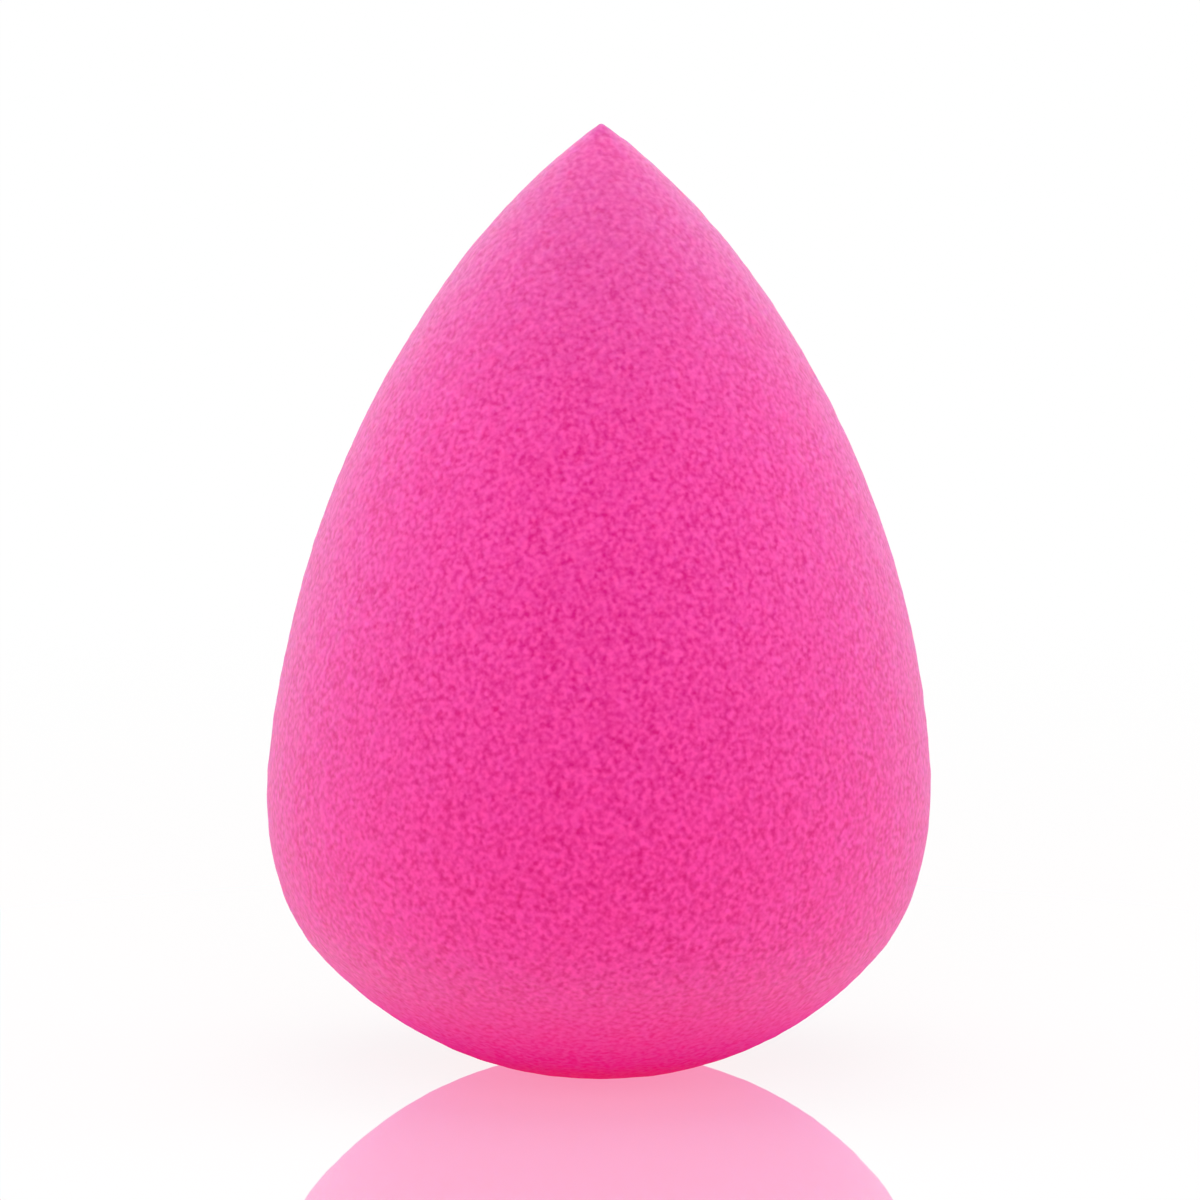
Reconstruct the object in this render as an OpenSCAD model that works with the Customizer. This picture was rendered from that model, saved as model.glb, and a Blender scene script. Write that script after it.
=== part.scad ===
// Makeup sponge: a teardrop of soft foam that stands on its round base with its point up.
// Millimetres. The origin is the centre of the small flat that the sponge stands on, and +Z runs
// up the sponge's axis to the point.

/* [Overall] */
// Height from the flat under the base to the point
sponge_h = 60; // [46:0.5:74]
// Diameter of the belly, the widest section
belly_d = 42; // [34:0.5:60]
// Height of the widest section above the flat
belly_z = 17.7; // [12:0.1:26]

/* [Round base] */
// Depth of the flat that the sponge's weight presses into its round base
flat_depth = 0.5; // [0.1:0.05:1.2]
// Heading of the outline where the base cap meets the shoulder, in degrees
shoulder_heading = 49; // [38:0.5:62]

/* [Belly] */
// Heading of the outline where the shoulder meets the belly, in degrees
belly_heading = 72; // [64:0.5:86]
// Radius of the belly's curve as a share of the shoulder's
belly_share = 1.8; // [1:0.05:2.6]
// Lean of the surface where the belly meets the flank, in degrees from upright
belly_lean = 4.5; // [1:0.5:9]

/* [Flank and point] */
// Lean of the surface where the flank meets the upper flank, in degrees from upright
flank_lean = 35.5; // [28:0.5:44]
// Lean of the surface where the upper flank meets the point, in degrees from upright
point_lean = 53; // [47:0.5:66]
// Radius of the rounded point
point_r = 0.3; // [0.15:0.05:2]

/* [Hidden] */

// How far cutting shapes reach past what they cut
overrun = 1;
// Sides of a full circle, in the outline and round the axis
arc_sides = 360;
turn_sides = 240;
// Share by which each arc is drawn shy of its true radius. A wide arc loses more than a tight one, so
// the tighter of two neighbours always takes over at one clean edge.
shy_share = 0.00002;
// Reach of the core across, as a share of the outline's
core_share = 0.9;

// The outline is a chain of arcs, each tangent to the next. Its heading is the direction in which it
// runs from the base to the point: 0 is straight out, 90 straight up and 180 straight in.
upright = 90;
inward = 180;

// Step across and up along an arc of unit radius between two headings
function arc_step(from, to) = [sin(to) - sin(from), cos(from) - cos(to)];

// Radii of two arcs that together cover a step, from the steps that they cover at unit radius
function pair_radii(step_a, step_b, whole) =
    [cross(whole, step_b), cross(step_a, whole)] / cross(step_a, step_b);

// Below the belly: from the lowest point of the full round base to the widest section
base_start = [0, -flat_depth];
belly_point = [belly_d / 2, belly_z];
base_step = arc_step(0, shoulder_heading);
shoulder_step = arc_step(shoulder_heading, belly_heading) + belly_share * arc_step(belly_heading, upright);
lower_radii = pair_radii(base_step, shoulder_step, belly_point - base_start);
base_r = lower_radii[0];
shoulder_r = lower_radii[1];
belly_r = belly_share * shoulder_r;

// Above the belly: from where the belly's curve ends to where the rounded point begins
point_step = point_r * arc_step(upright + point_lean, inward);
flank_start = belly_point + belly_r * arc_step(upright, upright + belly_lean);
flank_step = arc_step(upright + belly_lean, upright + flank_lean);
upper_step = arc_step(upright + flank_lean, upright + point_lean);
upper_radii = pair_radii(flank_step, upper_step, [0, sponge_h] - point_step - flank_start);
flank_r = upper_radii[0];
upper_r = upper_radii[1];

// Radius of each arc of the outline and its headings at its lower and upper ends, from the base up
ARCS = [
    [base_r, 0, shoulder_heading],
    [shoulder_r, shoulder_heading, belly_heading],
    [belly_r, belly_heading, upright + belly_lean],
    [flank_r, upright + belly_lean, upright + flank_lean],
    [upper_r, upright + flank_lean, upright + point_lean],
    [point_r, upright + point_lean, inward],
];
function radius(i) = ARCS[i][0];
function lower_heading(i) = ARCS[i][1];
function upper_heading(i) = ARCS[i][2];

// Place where an arc starts, and past the last arc the tip of the point
function arc_start(i) = i == 0 ? base_start
    : arc_start(i - 1) + radius(i - 1) * arc_step(lower_heading(i - 1), upper_heading(i - 1));

// Direction from an arc's centre to the place on it that has a heading
function out_from_centre(heading) = [sin(heading), -cos(heading)];

// Centre of an arc
function arc_centre(i) = arc_start(i) - radius(i) * out_from_centre(lower_heading(i));

// Whether an arc is tighter than its neighbour, if it has one on that side
function tighter(i, neighbour) = ARCS[neighbour] != undef && radius(i) < radius(neighbour);

// Headings between which an arc's slice is cut. Beside a wider neighbour the slice carries on across
// all of that one, because a tighter arc lies inside it.
function slice_from(i) = tighter(i, i - 1) ? lower_heading(i - 1) : lower_heading(i);
function slice_to(i) = tighter(i, i + 1) ? upper_heading(i + 1) : upper_heading(i);

// Slice of a full circle that holds one arc of the outline
module arc_slice(i) {
    from = slice_from(i);
    to = slice_to(i);
    reach = 2 * radius(i);
    translate(arc_centre(i))
        intersection() {
            circle(radius(i) * (1 - shy_share), $fn = arc_sides);
            polygon([
                [0, 0],
                reach * out_from_centre(from),
                reach * out_from_centre((from + to) / 2),
                reach * out_from_centre(to),
            ]);
        }
}

// Straight-sided core that fills the section between the slices and the axis
module outline_core() {
    meeting = [for (i = [1 : len(ARCS) - 1]) arc_start(i)];
    polygon([
        [0, meeting[0][1]],
        for (p = meeting) [core_share * p[0], p[1]],
        [0, meeting[len(meeting) - 1][1]],
    ]);
}

// Half of the sponge's section, on the +X side of its axis and cut off at the flat
module half_section() {
    intersection() {
        union() {
            outline_core();
            for (i = [0 : len(ARCS) - 1])
                arc_slice(i);
        }
        square([belly_d, sponge_h + overrun]);
    }
}

// The whole sponge is one block of foam, round about its axis
module sponge_body() {
    color("#f43c9b")
        rotate_extrude($fn = turn_sides)
            half_section();
}

sponge_body();
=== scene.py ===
# %% [markdown]
# # A teardrop makeup sponge
#
# The real sponge is one moulded block of soft foam: round below, full at the belly, and drawn up to a
# single point. It has no cover, seam, print or second piece, so everything that the eye sees is its
# outline and the fine open cells of the foam.
#
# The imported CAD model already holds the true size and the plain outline. This lesson loads it as a fixed
# frame and lays a finer, closed skin of foam over it, faintly uneven as moulded foam is. The material then
# gives that skin its pores, the depth to which light goes into it, and the pale bloom at its edges.

import bpy
import numpy as np
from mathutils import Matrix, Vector


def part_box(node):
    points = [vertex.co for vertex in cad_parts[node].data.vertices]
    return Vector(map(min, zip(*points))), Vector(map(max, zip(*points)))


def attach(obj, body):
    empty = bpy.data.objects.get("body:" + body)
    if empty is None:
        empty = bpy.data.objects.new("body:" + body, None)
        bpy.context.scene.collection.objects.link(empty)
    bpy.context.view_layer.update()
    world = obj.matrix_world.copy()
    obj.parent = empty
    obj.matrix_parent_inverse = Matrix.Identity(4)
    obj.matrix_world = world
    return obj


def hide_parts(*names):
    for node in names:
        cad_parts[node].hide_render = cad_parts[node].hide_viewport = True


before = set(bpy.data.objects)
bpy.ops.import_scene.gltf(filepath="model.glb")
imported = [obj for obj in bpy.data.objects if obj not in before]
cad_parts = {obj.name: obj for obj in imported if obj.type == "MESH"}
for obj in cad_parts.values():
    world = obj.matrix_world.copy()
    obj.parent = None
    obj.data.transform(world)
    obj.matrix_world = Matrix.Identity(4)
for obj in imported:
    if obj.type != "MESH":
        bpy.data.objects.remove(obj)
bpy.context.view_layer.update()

# %% [markdown]
# ## Units and the two sizes
#
# Blender works in metres, but a sponge is easier to think about in millimetres. All shapes below are
# worked out in millimetres and scaled once, when they become a mesh. The height and the belly's diameter
# are read from the CAD node instead of being typed again, so the foam always fits its frame.

# %% Read the sponge's height and width
MM = 0.001
node_low, node_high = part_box("sponge_body")
height = node_high.z / MM
belly_radius = (node_high.x - node_low.x) / 2 / MM
print(f"height {height:.2f} mm, belly {2 * belly_radius:.2f} mm across")

# %% [markdown]
# ## The camera
#
# The photograph was taken from just above table height with a long lens: the two sides of the sponge look
# almost parallel and the base shows a shallow curve. A camera 600 mm away and 8 degrees up gives that
# view. The lens length follows from the width of the view, by similar triangles, so there is no guessing.

# %% Set up the camera
SENSOR_WIDTH = 36
CAMERA_DISTANCE = 600
CAMERA_RISE = np.radians(8)
VIEW_WIDTH = 75.71
AIM = np.array([0.02, 0, 29.84])
towards_camera = np.array([0, -np.cos(CAMERA_RISE), np.sin(CAMERA_RISE)])

camera = bpy.data.objects.new("camera", bpy.data.cameras.new("camera"))
bpy.context.scene.collection.objects.link(camera)
camera.data.sensor_width = SENSOR_WIDTH
camera.data.lens = SENSOR_WIDTH * CAMERA_DISTANCE / VIEW_WIDTH
camera.location = Vector(AIM + CAMERA_DISTANCE * towards_camera) * MM
camera.rotation_euler = Vector(-towards_camera).to_track_quat("-Z", "Y").to_euler()
camera.data.clip_start = 10 * MM
camera.data.clip_end = 10000 * MM
bpy.context.scene.camera = camera
print(f"lens {camera.data.lens:.0f} mm")

# %% [markdown]
# ## The outline
#
# A mould maker would turn this shape from a few arcs that run smoothly into each other. So the outline is
# a chain of six tangent arcs: base, shoulder, belly, flank, upper flank and the tiny rounded point. Each
# arc ends at a heading, the direction in which the outline runs there: 0 degrees is straight out, 90 is
# straight up and 180 is straight in. The belly's radius is a fixed share of the shoulder's. Two pairs of
# radii are left free, and each pair is solved so that the chain passes exactly through the widest section
# and the top. A spline through points could come close, but its curvature would wander where a mould's
# doesn't.

# %% Solve the chain of arcs
FLAT_DEPTH = 0.5
BELLY_HEIGHT = 17.7
BELLY_SHARE = 1.8
POINT_RADIUS = 0.3
headings = np.radians([0, 49, 72, 90 + 4.5, 90 + 35.5, 90 + 53, 180])
UPRIGHT = np.pi / 2


def unit_step(start, end):
    """Step across and up along an arc of radius one: the sine's gain across, the cosine's loss up."""
    return np.array([np.sin(end) - np.sin(start), np.cos(start) - np.cos(end)])


def pair_radii(first, second, whole):
    """Radii of two arcs that together cover a step: the weights of their unit steps that add up to it."""
    return np.linalg.solve(np.stack([first, second], axis=1), whole)


base_start = np.array([0, -FLAT_DEPTH])
belly_point = np.array([belly_radius, BELLY_HEIGHT])
base_cap = unit_step(*headings[0:2])
shoulder_and_belly = unit_step(*headings[1:3]) + BELLY_SHARE * unit_step(headings[2], UPRIGHT)
base_radius, shoulder_radius = pair_radii(base_cap, shoulder_and_belly, belly_point - base_start)
belly_curve = BELLY_SHARE * shoulder_radius

flank_start = belly_point + belly_curve * unit_step(UPRIGHT, headings[3])
point_start = np.array([0, height]) - POINT_RADIUS * unit_step(*headings[5:7])
flank, upper_flank = unit_step(*headings[3:5]), unit_step(*headings[4:6])
flank_radius, upper_radius = pair_radii(flank, upper_flank, point_start - flank_start)
radii = np.array([base_radius, shoulder_radius, belly_curve, flank_radius, upper_radius, POINT_RADIUS])

arc_lengths = radii * np.diff(headings)
length_at = np.concatenate([[0], np.cumsum(arc_lengths)])
steps = radii[:, None] * unit_step(headings[:-1], headings[1:]).T
arc_starts = base_start + np.concatenate([[[0, 0]], np.cumsum(steps, axis=0)])[:-1]
print("radii in mm:", radii.round(2), "length of outline:", length_at[-1].round(2))

# %% [markdown]
# The chain becomes a function of one number, the distance along the outline from the middle of the base.
# Each distance falls in one arc, and the heading there grows evenly with the distance.


# %% Walk along the outline
def outline(distance):
    """Radius, height and heading at a distance along the outline.
    Heading: the arc's first heading plus the distance into the arc over its radius.
    Place: the arc's start plus its radius times the unit step from the first heading to this one."""
    arc = np.clip(np.searchsorted(length_at, distance, side="right") - 1, 0, len(radii) - 1)
    heading = headings[arc] + (distance - length_at[arc]) / radii[arc]
    place = arc_starts[arc].T + radii[arc] * unit_step(headings[arc], heading)
    return place[0], place[1], heading


widest, widest_height, _ = outline(np.linspace(0, length_at[-1], 2001))
print(f"widest {2 * widest.max():.2f} mm at {widest_height[widest.argmax()]:.1f} mm up")

# %% [markdown]
# ## A closed lattice with no poles and no seam
#
# The skin needs mesh lines close enough for a smooth outline and for a little unevenness, about a third of
# a millimetre apart. Turning a profile round the axis would crowd them together at the point and at the
# base, where they pinch. Instead the six sides of a cube are ruled into squares and blown up onto the
# teardrop, like a cube that is inflated into a ball. The squares stay nearly even and the surface closes by
# itself. Corners that two sides share are counted once, by giving each place on the cube a whole number.

# %% Rule a cube's surface into squares
RULINGS = 128


def cube_lattice(n):
    """Whole-number corners and quads of a cube's surface, n squares along each edge.
    Each side is a square grid of two parameters, listed so that its quads face outwards. A corner's key
    is x plus y times (n + 1) plus z times its square, and corners with one key are one corner."""
    u, v = np.meshgrid(np.arange(n + 1), np.arange(n + 1), indexing="ij")
    near, far = np.zeros_like(u), np.full_like(u, n)
    sides = [(far, u, v), (near, v, u), (v, far, u), (u, near, v), (u, v, far), (v, u, near)]
    corners = np.concatenate([np.stack(side, axis=-1).reshape(-1, 3) for side in sides])
    _, first, place = np.unique(corners @ (n + 1) ** np.arange(3), return_index=True, return_inverse=True)
    grid = np.arange((n + 1) ** 2).reshape(n + 1, n + 1)
    quads = np.stack([grid[:-1, :-1], grid[1:, :-1], grid[1:, 1:], grid[:-1, 1:]], axis=-1).reshape(-1, 4)
    side_size = (n + 1) ** 2
    all_quads = np.concatenate([quads + side * side_size for side in range(len(sides))])
    return corners[first], place[all_quads]


lattice, quads = cube_lattice(RULINGS)
print(len(lattice), "corners,", len(quads), "quads")

# %% [markdown]
# Each lattice corner is turned into a direction from the cube's middle. Its angle from straight down says
# how far it lies along the outline, and its bearing says which way round the axis. Taking the tangent of
# the ruling first makes the steps even in angle instead of even on the flat side of the cube.

# %% Blow the lattice up onto the teardrop
CROWDING = 0.2


def teardrop(corners, n):
    """Place and outward normal of each lattice corner on the smooth teardrop.
    The share of the half turn from straight down to the corner's direction says how far along the outline
    the corner lies. A fifth more of it, less a fifth of its fourth power, crowds the lines at the point.
    The normal leans out by the sine of the heading and down by its cosine."""
    ray = np.tan((2 * corners / n - 1) * np.pi / 4)
    across = np.hypot(ray[:, 0], ray[:, 1])
    share = np.arctan2(across, -ray[:, 2]) / np.pi
    out, up, heading = outline(((1 + CROWDING) * share - CROWDING * share**4) * length_at[-1])
    bearing = ray[:, :2] / np.maximum(across, 1e-9)[:, None]
    place = np.column_stack([bearing * out[:, None], up])
    normal = np.column_stack([bearing * np.sin(heading)[:, None], -np.cos(heading)])
    return place, normal


skin, outward = teardrop(lattice, RULINGS)
spacing = np.linalg.norm(skin[quads[:, 1]] - skin[quads[:, 0]], axis=1)
print(f"mesh lines {np.percentile(spacing, 5):.2f} to {np.percentile(spacing, 95):.2f} mm apart")

# %% [markdown]
# ## Moulded foam isn't perfectly even
#
# Foam is bubbles that met while it rose. Its pores are finer than this mesh and come later, in the
# material. What the mesh can hold is what lies between a pore and the whole shape: clumps of pores about a
# millimetre across, low swells of a few millimetres, and the slow unevenness of a soft thing that has been
# handled. A sculptor's brush or a stack of noise modifiers could draw this. Here it is a sum of many flat
# waves with random directions, evaluated in space, so it has the same grain on every side of the sponge and
# can't stretch at the point or the base.

# %% Make the foam's relief
draw = np.random.default_rng(42)


def foam_swell(places, shortest, longest, waves=128):
    """Even random relief with a spread of one, at each place. Lengths are in millimetres.
    It is the sum of cosines of the place along a wave's direction times the wave's turns per millimetre,
    plus a random start, over waves with random directions and lengths from the shortest to the longest."""
    direction = draw.normal(size=(waves, 3))
    direction /= np.linalg.norm(direction, axis=1, keepdims=True)
    turns = draw.uniform(1 / longest, 1 / shortest, waves)
    start = draw.uniform(0, 2 * np.pi, waves)
    total = np.zeros(len(places), np.float32)
    for way, rate, phase in zip(direction, turns, start):
        total += np.cos((places @ (2 * np.pi * rate * way) + phase).astype(np.float32))
    return total * np.sqrt(2 / waves)


clumps = foam_swell(skin, shortest=0.9, longest=1.8)
swells = foam_swell(skin, shortest=2.0, longest=4.5)
uneven = foam_swell(skin, shortest=9.0, longest=22.0)
print(f"spread of the clumps {clumps.std():.2f}, of the swells {swells.std():.2f}")

# %% [markdown]
# The relief is tiny, about a tenth of a millimetre from its deepest hollow to its highest swell: on the
# real sponge the outline looks clean, and only the light on the surface tells that it isn't machined. The
# clumps and swells are also eased into a tone that runs from 0 in a deep hollow to 1 on a high swell. It is
# kept for the colour, which is painted a shade deeper pink in the hollows than on the swells round them:
# painted shade, standing in for the shade that gathers in a hollow.

# %% Add up the relief and its tone
CLUMP_DEPTH, SWELL_DEPTH, UNEVEN_DEPTH = 0.010, 0.007, 0.010
CLUMP_TONE, SWELL_TONE = 0.5, 0.4
relief = CLUMP_DEPTH * clumps + SWELL_DEPTH * swells + UNEVEN_DEPTH * uneven
# painted shade: this tone darkens the colour in the hollows of the relief
tone = 0.5 + 0.5 * np.tanh(CLUMP_TONE * clumps + SWELL_TONE * swells)
print(f"relief {relief.min():.2f} to {relief.max():.2f} mm, mean tone {tone.mean():.2f}")

# %% [markdown]
# ## A soft thing stands differently from a hard one
#
# Foam leans a little, and it flattens where its weight presses it on the table. The lean is slight: the
# belly sits a tenth of a millimetre to one side of the point and the base. The flattening is a soft limit:
# nothing may go below the table, and what comes close to it is eased onto it, so the skin that touches is
# pressed flat as well. A cloth simulation would blow the whole sponge up like a bag, which foam isn't, so
# the settling is worked out directly.

# %% Lean and settle the sponge
SETTLE = 0.06
SWAY = 0.1
SWAY_HEIGHT, SWAY_REACH = 14, 9


def settle(places):
    """Heights eased onto the table at zero: half of the height plus the root of its square and the
    square of the settling depth, which is the height itself well above and nearly zero below."""
    up = places[:, 2]
    return np.column_stack([places[:, :2], (up + np.sqrt(up * up + SETTLE * SETTLE)) / 2])


def sway(places):
    """Sideways shift that is constant except round the belly, which sits a little to the left: a bell
    curve of the distance from the sway's height, twice as deep as the constant that it is taken from.
    Half as much goes from front to back."""
    shift = SWAY * (1 - 2 * np.exp(-(((places[:, 2] - SWAY_HEIGHT) / SWAY_REACH) ** 2)))
    return places + np.column_stack([shift, 0.5 * shift, np.zeros_like(shift)])


foam = settle(sway(skin + relief[:, None] * outward))
print(f"lowest {foam[:, 2].min():.3f} mm, highest {foam[:, 2].max():.2f} mm")

# %% [markdown]
# ## From arrays to a mesh
#
# The arrays go into the mesh in one step each. The tone of each corner goes with them as an attribute,
# a number that the material can read at every point of the surface.

# %% Build the sponge's mesh
def make_mesh(name, places, faces):
    """Mesh object at the origin from places in millimetres and faces of four corners."""
    mesh = bpy.data.meshes.new(name)
    mesh.vertices.add(len(places))
    mesh.vertices.foreach_set("co", (places * MM).astype(np.float32).ravel())
    mesh.loops.add(faces.size)
    mesh.loops.foreach_set("vertex_index", faces.astype(np.int32).ravel())
    mesh.polygons.add(len(faces))
    mesh.polygons.foreach_set("loop_start", np.arange(0, faces.size, 4, dtype=np.int32))
    mesh.update(calc_edges=True)
    mesh.polygons.foreach_set("use_smooth", np.ones(len(faces), bool))
    piece = bpy.data.objects.new(name, mesh)
    bpy.context.scene.collection.objects.link(piece)
    return piece


sponge = make_mesh("sponge", foam, quads)
# the tone goes along for the material's painted shade in the hollows
relief_shade_tone = sponge.data.attributes.new("relief_shade_tone", "FLOAT", "POINT")
relief_shade_tone.data.foreach_set("value", tone.astype(np.float32))
print("mesh is sound:", not sponge.data.validate())

# %% [markdown]
# ## Writing a material as sums
#
# A material is a drawing of nodes joined by wires, and sums drawn as boxes are hard to read. This small
# class holds one wire. Python's own plus, minus and times on it add the Math node and hand back the next
# wire, so a formula in the material reads like a formula.

# %% Give wires their arithmetic
class Wire:
    """One output socket of a node tree, with Python's arithmetic on it."""

    def __init__(self, tree, socket=None):
        self.tree = tree
        self.socket = socket

    def node(self, kind, settings=None, inputs=None, output=0):
        """Adds a node, sets its settings first and then its sockets, and returns the wire of an output."""
        made = self.tree.nodes.new(kind)
        for key, value in (settings or {}).items():
            setattr(made, key, value)
        for key, value in (inputs or {}).items():
            if isinstance(value, Wire):
                self.tree.links.new(value.socket, made.inputs[key])
            else:
                made.inputs[key].default_value = value
        return Wire(self.tree, made.outputs[output] if len(made.outputs) else None)

    def math(self, operation, first, second=0.0):
        """Adds a Math node for two numbers or wires."""
        return self.node("ShaderNodeMath", {"operation": operation}, {0: first, 1: second})

    def eased(self, first, last):
        """0 where this wire's value is the first number and 1 where it is the last, eased in between."""
        ends = {"Value": self, "From Min": first, "From Max": last}
        return self.node("ShaderNodeMapRange", {"interpolation_type": "SMOOTHSTEP"}, ends)

    def __add__(self, other):
        return self.math("ADD", self, other)

    def __sub__(self, other):
        return self.math("SUBTRACT", self, other)

    def __rsub__(self, other):
        return self.math("SUBTRACT", other, self)

    def __mul__(self, other):
        return self.math("MULTIPLY", self, other)

    __radd__ = __add__
    __rmul__ = __mul__


def new_material(name):
    """A new material without nodes, and a wire in its tree that has no socket yet."""
    material = bpy.data.materials.new(name)
    material.use_nodes = True
    material.node_tree.nodes.clear()
    return material, Wire(material.node_tree)


def colour_mix(start, share, low, high):
    """Colour between two others, by a share from 0 to 1."""
    return start.node("ShaderNodeMix", {"data_type": "RGBA"}, {0: share, 6: low, 7: high}, 2)


# %% [markdown]
# ## The foam's finish
#
# Dyed foam has no gloss at all. Its colour comes from within: the skin between the pores is a clear hot
# pink, and light that goes down a pore comes back deeper and redder, so the pores are painted a deeper,
# redder pink as painted shade. The pores aren't a neat grid of round holes. They are crooked, they run into
# each other, and a few stand open wider than the rest. Noise gives such hollows once it is read on a scale
# as fine as the pores. Its own grain follows the three axes, so the place is turned to an odd angle first,
# and no row of pores lines up with the sponge. A second, coarser noise is cut off so that only its deepest
# hollows are left: those are the wide pores. Both are added into one number, about 0 at the bottom of a
# pore and 1 on the skin beside it. On the swells of the mesh the pores are a little shallower than in its
# hollows, and the skin is a shade paler: painted shade that keeps the hollows darker.

# %% Open the pores of the foam
PORE_SIZE, PORE_DEPTH = 0.35, 2.1
WIDE_PORE_SIZE, WIDE_PORE_DEPTH = 0.46, 0.2
SHALLOWER_ON_SWELLS, PALER_ON_SWELLS = 0.6, 0.06
SKIN_LEVEL = 0.276

foam_material, start = new_material("hot_pink_foam")
where = start.node("ShaderNodeTexCoord", output="Object")


def hollows(size, turn):
    """Low in the hollows and high on the skin between: noise about one half, whose swells are the given
    size in millimetres, read at the place turned by three angles."""
    turned = start.node("ShaderNodeMapping", {}, {"Vector": where, "Rotation": turn})
    return start.node("ShaderNodeTexNoise", {"noise_dimensions": "3D"},
                      {"Vector": turned, "Scale": 1 / (size * MM), "Detail": 0.7})


pores = hollows(PORE_SIZE, (0.6, 0.4, 0.9))
beside_wide_pores = hollows(WIDE_PORE_SIZE, (0.2, 0.7, 1.3)).eased(0.22, 0.36)
# the relief's tone, read for painted shade: stronger pores and a darker skin in its hollows
shade_tone_here = start.node("ShaderNodeAttribute", {"attribute_name": "relief_shade_tone"}, {}, "Fac")
fine_pores = (PORE_DEPTH - SHALLOWER_ON_SWELLS * shade_tone_here) * (pores - 0.5)
wide_pores = WIDE_PORE_DEPTH * beside_wide_pores
skin_share = fine_pores + wide_pores + PALER_ON_SWELLS * shade_tone_here + SKIN_LEVEL
print(f"pores {PORE_SIZE} mm apart, wide ones {WIDE_PORE_SIZE} mm")

# %% [markdown]
# The colour runs between two pinks at each place: a clear one on the skin and a deeper one in the pores,
# which is painted shade. Both drift slowly with the height, and that drift is painted light: low down,
# close to the sheet, the pink is deepest and its red brightest, to make up for light that doesn't reach the
# base, and towards the point it is paler, standing in for the pale veil that the overhead lamp lays on the
# top.

# %% Mix the foam's colours
height_here = start.node("ShaderNodeSeparateXYZ", {}, {"Vector": where}, "Z")


def share_between(first, last):
    """0 at one height and 1 at another, both in millimetres, with an eased run between."""
    return height_here.eased(first * MM, last * MM)


def painted_light_by_height(base, belly, flank, tip):
    """Colour that runs from the base's to the belly's, then to the flank's and on to the tip's: painted
    light and shade that change with the height.
    """
    lower = colour_mix(start, share_between(1, 10), (*base, 1), (*belly, 1))
    body = colour_mix(start, share_between(14, 36), lower, (*flank, 1))
    return colour_mix(start, share_between(38, 64), body, (*tip, 1))


# painted light: redder and brighter at the base for the light that misses it, paler at the point for the
# lamp's veil
skin_pink = painted_light_by_height(
    base=(1.00, 0.050, 0.394),
    belly=(0.850, 0.060, 0.412),
    flank=(0.848, 0.078, 0.441),
    tip=(0.680, 0.124, 0.435),
)
shaded_pore_pink = painted_light_by_height(
    base=(0.97, 0.001, 0.271),
    belly=(0.630, 0.001, 0.209),
    flank=(0.642, 0.001, 0.235),
    tip=(0.562, 0.042, 0.295),
)
# painted shade: the colour turns to the deeper pore pink at the bottom of each pore
foam_colour = colour_mix(start, skin_share, shaded_pore_pink, skin_pink)
print("colour made of", len(foam_material.node_tree.nodes), "nodes so far")

# %% [markdown]
# The same pores tilt the surface through a Bump node, so the lamps pick out their rims, and the skin is a
# shade smoother than they are. The bloom, the paler veil towards the edges and the point, is the fuzz of
# cut foam catching light side on, which is what the shader's sheen is for; towards the point the painted
# paler pink adds to it. How deep light goes is set for each colour: red goes far into foam, green and blue
# hardly any way, which keeps its shadows pink. A flat pink with a bump alone would look like painted
# plaster.

# %% Make the foam's shader
BUMP_DEPTH = 0.1
pore_rims = {"Strength": 0.15, "Distance": BUMP_DEPTH * MM, "Height": skin_share}
bumped = start.node("ShaderNodeBump", {}, pore_rims)
foam_roughness = 0.95 - 0.1 * skin_share


def foam(fuzz, reach):
    """The foam's shader with a given weight of sheen, and how far red, green and blue go into it in
    millimetres."""
    return start.node(
        "ShaderNodeBsdfPrincipled",
        {},
        {
            "Base Color": foam_colour,
            "Roughness": foam_roughness,
            "Normal": bumped,
            "Specular IOR Level": 0.0,
            "Subsurface Weight": 1.0,
            "Subsurface Radius": reach,
            "Subsurface Scale": MM,
            "Sheen Weight": fuzz,
            "Sheen Roughness": 0.6,
            "Sheen Tint": (0.47, 0.72, 0.46, 1),
        },
    )


print(f"bump of {BUMP_DEPTH} mm at a strength of {pore_rims['Strength']}")

# %% [markdown]
# Three kinds of this foam make the sponge. Red light goes 14 mm into the loose foam of its body. Where the
# sponge is pressed on the sheet its fuzz lies flat and red goes only 4 mm deep, so a foam of that kind takes
# over low down. The point is so thin that the white studio would shine through it in violet, so in its last
# millimetre the foam is denser still.

# %% Finish the foam
pressed = foam(fuzz=0.0, reach=(4, 0.9, 2.2))
loose = foam(fuzz=0.44, reach=(14, 0.9, 2.2))
dense = foam(fuzz=0.44, reach=(2, 0.9, 0.9))
above_sheet, in_point = share_between(1, 9), share_between(58.8, 59.8)
below_point = start.node("ShaderNodeMixShader", {}, {0: above_sheet, 1: pressed, 2: loose})
foam_shader = start.node("ShaderNodeMixShader", {}, {0: in_point, 1: below_point, 2: dense})
start.node("ShaderNodeOutputMaterial", {}, {"Surface": foam_shader})
sponge.data.materials.append(foam_material)
print("foam material:", len(foam_material.node_tree.nodes), "nodes")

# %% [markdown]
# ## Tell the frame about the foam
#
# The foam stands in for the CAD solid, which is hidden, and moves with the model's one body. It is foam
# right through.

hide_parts("sponge_body")
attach(sponge, "root")
print(sponge.name, "has", len(sponge.data.vertices), "corners and rides on root")

# %% [markdown]
# ## Rays that carry a picture
#
# A render follows rays of several kinds. Those that come from the camera, off a mirror or through glass
# carry a picture, and all others only carry light from one surface to the next. Once they are told apart,
# the floor and the backdrop can look white without lighting the sponge any harder.

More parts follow.
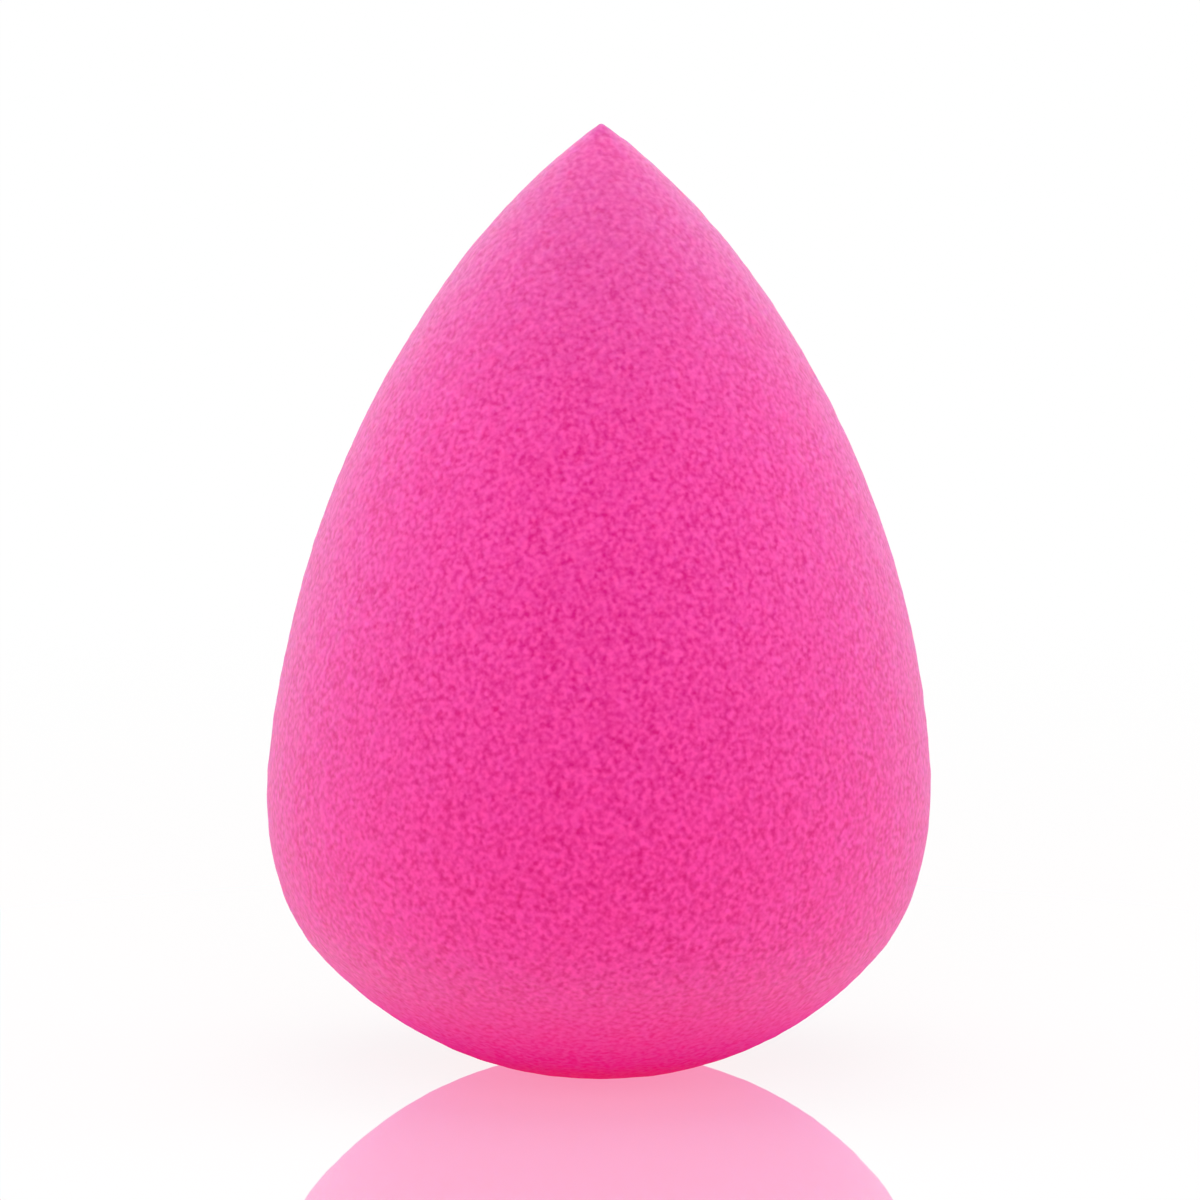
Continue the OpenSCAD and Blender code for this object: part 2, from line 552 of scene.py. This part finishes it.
# %% Pick out the rays that carry a picture
def picture_rays(start):
    """1 for a ray from the camera, off a mirror or through glass, and 0 for any other."""
    camera_ray, mirror_ray, glass_ray = (
        start.node("ShaderNodeLightPath", output=f"Is {kind} Ray")
        for kind in ("Camera", "Glossy", "Transmission")
    )
    return start.math("MAXIMUM", start.math("MAXIMUM", camera_ray, mirror_ray), glass_ray)


# %% [markdown]
# ## A pale, polished floor
#
# The photograph stands the sponge on a white, mirror-like sheet that shows it again upside down and much
# paler. The copy is palest in red, so the sheet gives back two thirds of the green, half of the blue and
# little of the red, and its own white fills what is missing: where it mirrors nothing but white, it is
# white. Close to the sponge a part of the sheet is matte, to take the soft shadow. Farther out that part
# fades, so the background stays white without any extra light.

# %% Lay the floor
FLOOR_HALF = 4000
SHADOW_SHARE = 0.14
SHADOW_FULL, SHADOW_GONE = 50, 220
copy_strength = np.array([0.08, 0.58, 0.45]) / (1 - SHADOW_SHARE)

floor_corners = FLOOR_HALF * np.array([[-1, -1, 0], [1, -1, 0], [1, 1, 0], [-1, 1, 0]])
floor = make_mesh("floor", floor_corners, np.array([[0, 1, 2, 3]]))
floor_material, start = new_material("polished_white_sheet")
where = start.node("ShaderNodeTexCoord", output="Object")
away = start.node("ShaderNodeVectorMath", {"operation": "LENGTH"}, {"Vector": where}, "Value")
near = away.eased(SHADOW_GONE * MM, SHADOW_FULL * MM)
matte = start.node("ShaderNodeBsdfDiffuse", {}, {"Color": (0.98, 0.9, 0.9, 1)})
mirror = start.node("ShaderNodeBsdfGlossy", {}, {"Color": (*copy_strength, 1), "Roughness": 0.0})
own_white = start.node("ShaderNodeEmission", {}, {"Color": (*(1 - copy_strength), 1), "Strength": 1.0})
sheet = start.node("ShaderNodeAddShader", {}, {0: mirror, 1: own_white})
pictured = start.node("ShaderNodeMixShader", {}, {0: 1 - SHADOW_SHARE * near, 1: matte, 2: sheet})
print("the sheet gives back", copy_strength.round(2), "of red, green and blue")

# %% [markdown]
# All that the camera sees of the mirror is kept from the light that reaches the sponge: to every other ray
# the sheet is matte paper of a warm white. Lamps can't reach the narrow gap round the place of contact, and
# the base would end in a dark rim that the photograph doesn't show. So a small round panel under the base
# lights it from below in deep pink, as a light table would, and the camera doesn't see the panel itself.

# %% Light the base from below
PANEL_FULL, PANEL_GONE = 6, 13
beneath = away.eased(PANEL_GONE * MM, PANEL_FULL * MM)
panel = start.node("ShaderNodeEmission", {}, {"Color": (0.80, 0.32, 0.26, 1), "Strength": 1.0})
lighting = start.node("ShaderNodeMixShader", {}, {0: beneath, 1: matte, 2: panel})
shown = start.node("ShaderNodeMixShader", {}, {0: picture_rays(start), 1: lighting, 2: pictured})
start.node("ShaderNodeOutputMaterial", {}, {"Surface": shown})
floor.data.materials.append(floor_material)
print(f"the panel is {2 * PANEL_GONE} mm across")

# %% [markdown]
# ## Soft light from all round
#
# A white tent gives about half of the light, so nothing is in hard shadow. Four large soft lamps give the
# sponge its shape: one overhead, one low in front, which also lights the sheet that lights the round base
# from below, and one on each side for the pale rims. They are kept out of the sheet's mirror, where they
# would show as pale squares from above.

# %% Hang the lamps
def soft_lamp(name, place, target, size, strength):
    """Square soft lamp at a place, turned to face a target, both in millimetres."""
    lamp = bpy.data.objects.new(name, bpy.data.lights.new(name, "AREA"))
    bpy.context.scene.collection.objects.link(lamp)
    lamp.data.size = size * MM
    lamp.data.energy = strength
    lamp.location = Vector(place) * MM
    lamp.rotation_euler = (Vector(target) - Vector(place)).to_track_quat("-Z", "Y").to_euler()
    lamp.visible_glossy = False
    print(f"{name}: {size} mm wide, {strength} W")


middle = (0, 0, height / 2)
soft_lamp("overhead", (0, 50, 420), middle, size=360, strength=0.70)
soft_lamp("low_front", (0, -330, 200), (0, -60, 0), size=260, strength=0.55)
soft_lamp("left_side", (-420, 60, 100), middle, size=240, strength=0.53)
soft_lamp("right_side", (420, 60, 100), middle, size=240, strength=0.53)

# %% [markdown]
# The world is the tent. What the camera and the floor's mirror see of it is plain white at strength one.
# What lights the sponge is set apart from that, so the background can be white without glare.

# %% Set the world
TENT_LIGHT = 0.49
world = bpy.context.scene.world or bpy.data.worlds.new("tent")
bpy.context.scene.world = world
world.use_nodes = True
world.node_tree.nodes.clear()
start = Wire(world.node_tree)
tent_strength = TENT_LIGHT + (1 - TENT_LIGHT) * picture_rays(start)
tent = start.node("ShaderNodeBackground", {}, {"Color": (1, 1, 1, 1), "Strength": tent_strength})
start.node("ShaderNodeOutputWorld", {}, {"Surface": tent})
bpy.context.scene.view_settings.view_transform = "Standard"
print(f"the tent lights the sponge at {TENT_LIGHT} and looks white")

# %% Update the scene and finish
bpy.context.view_layer.update()
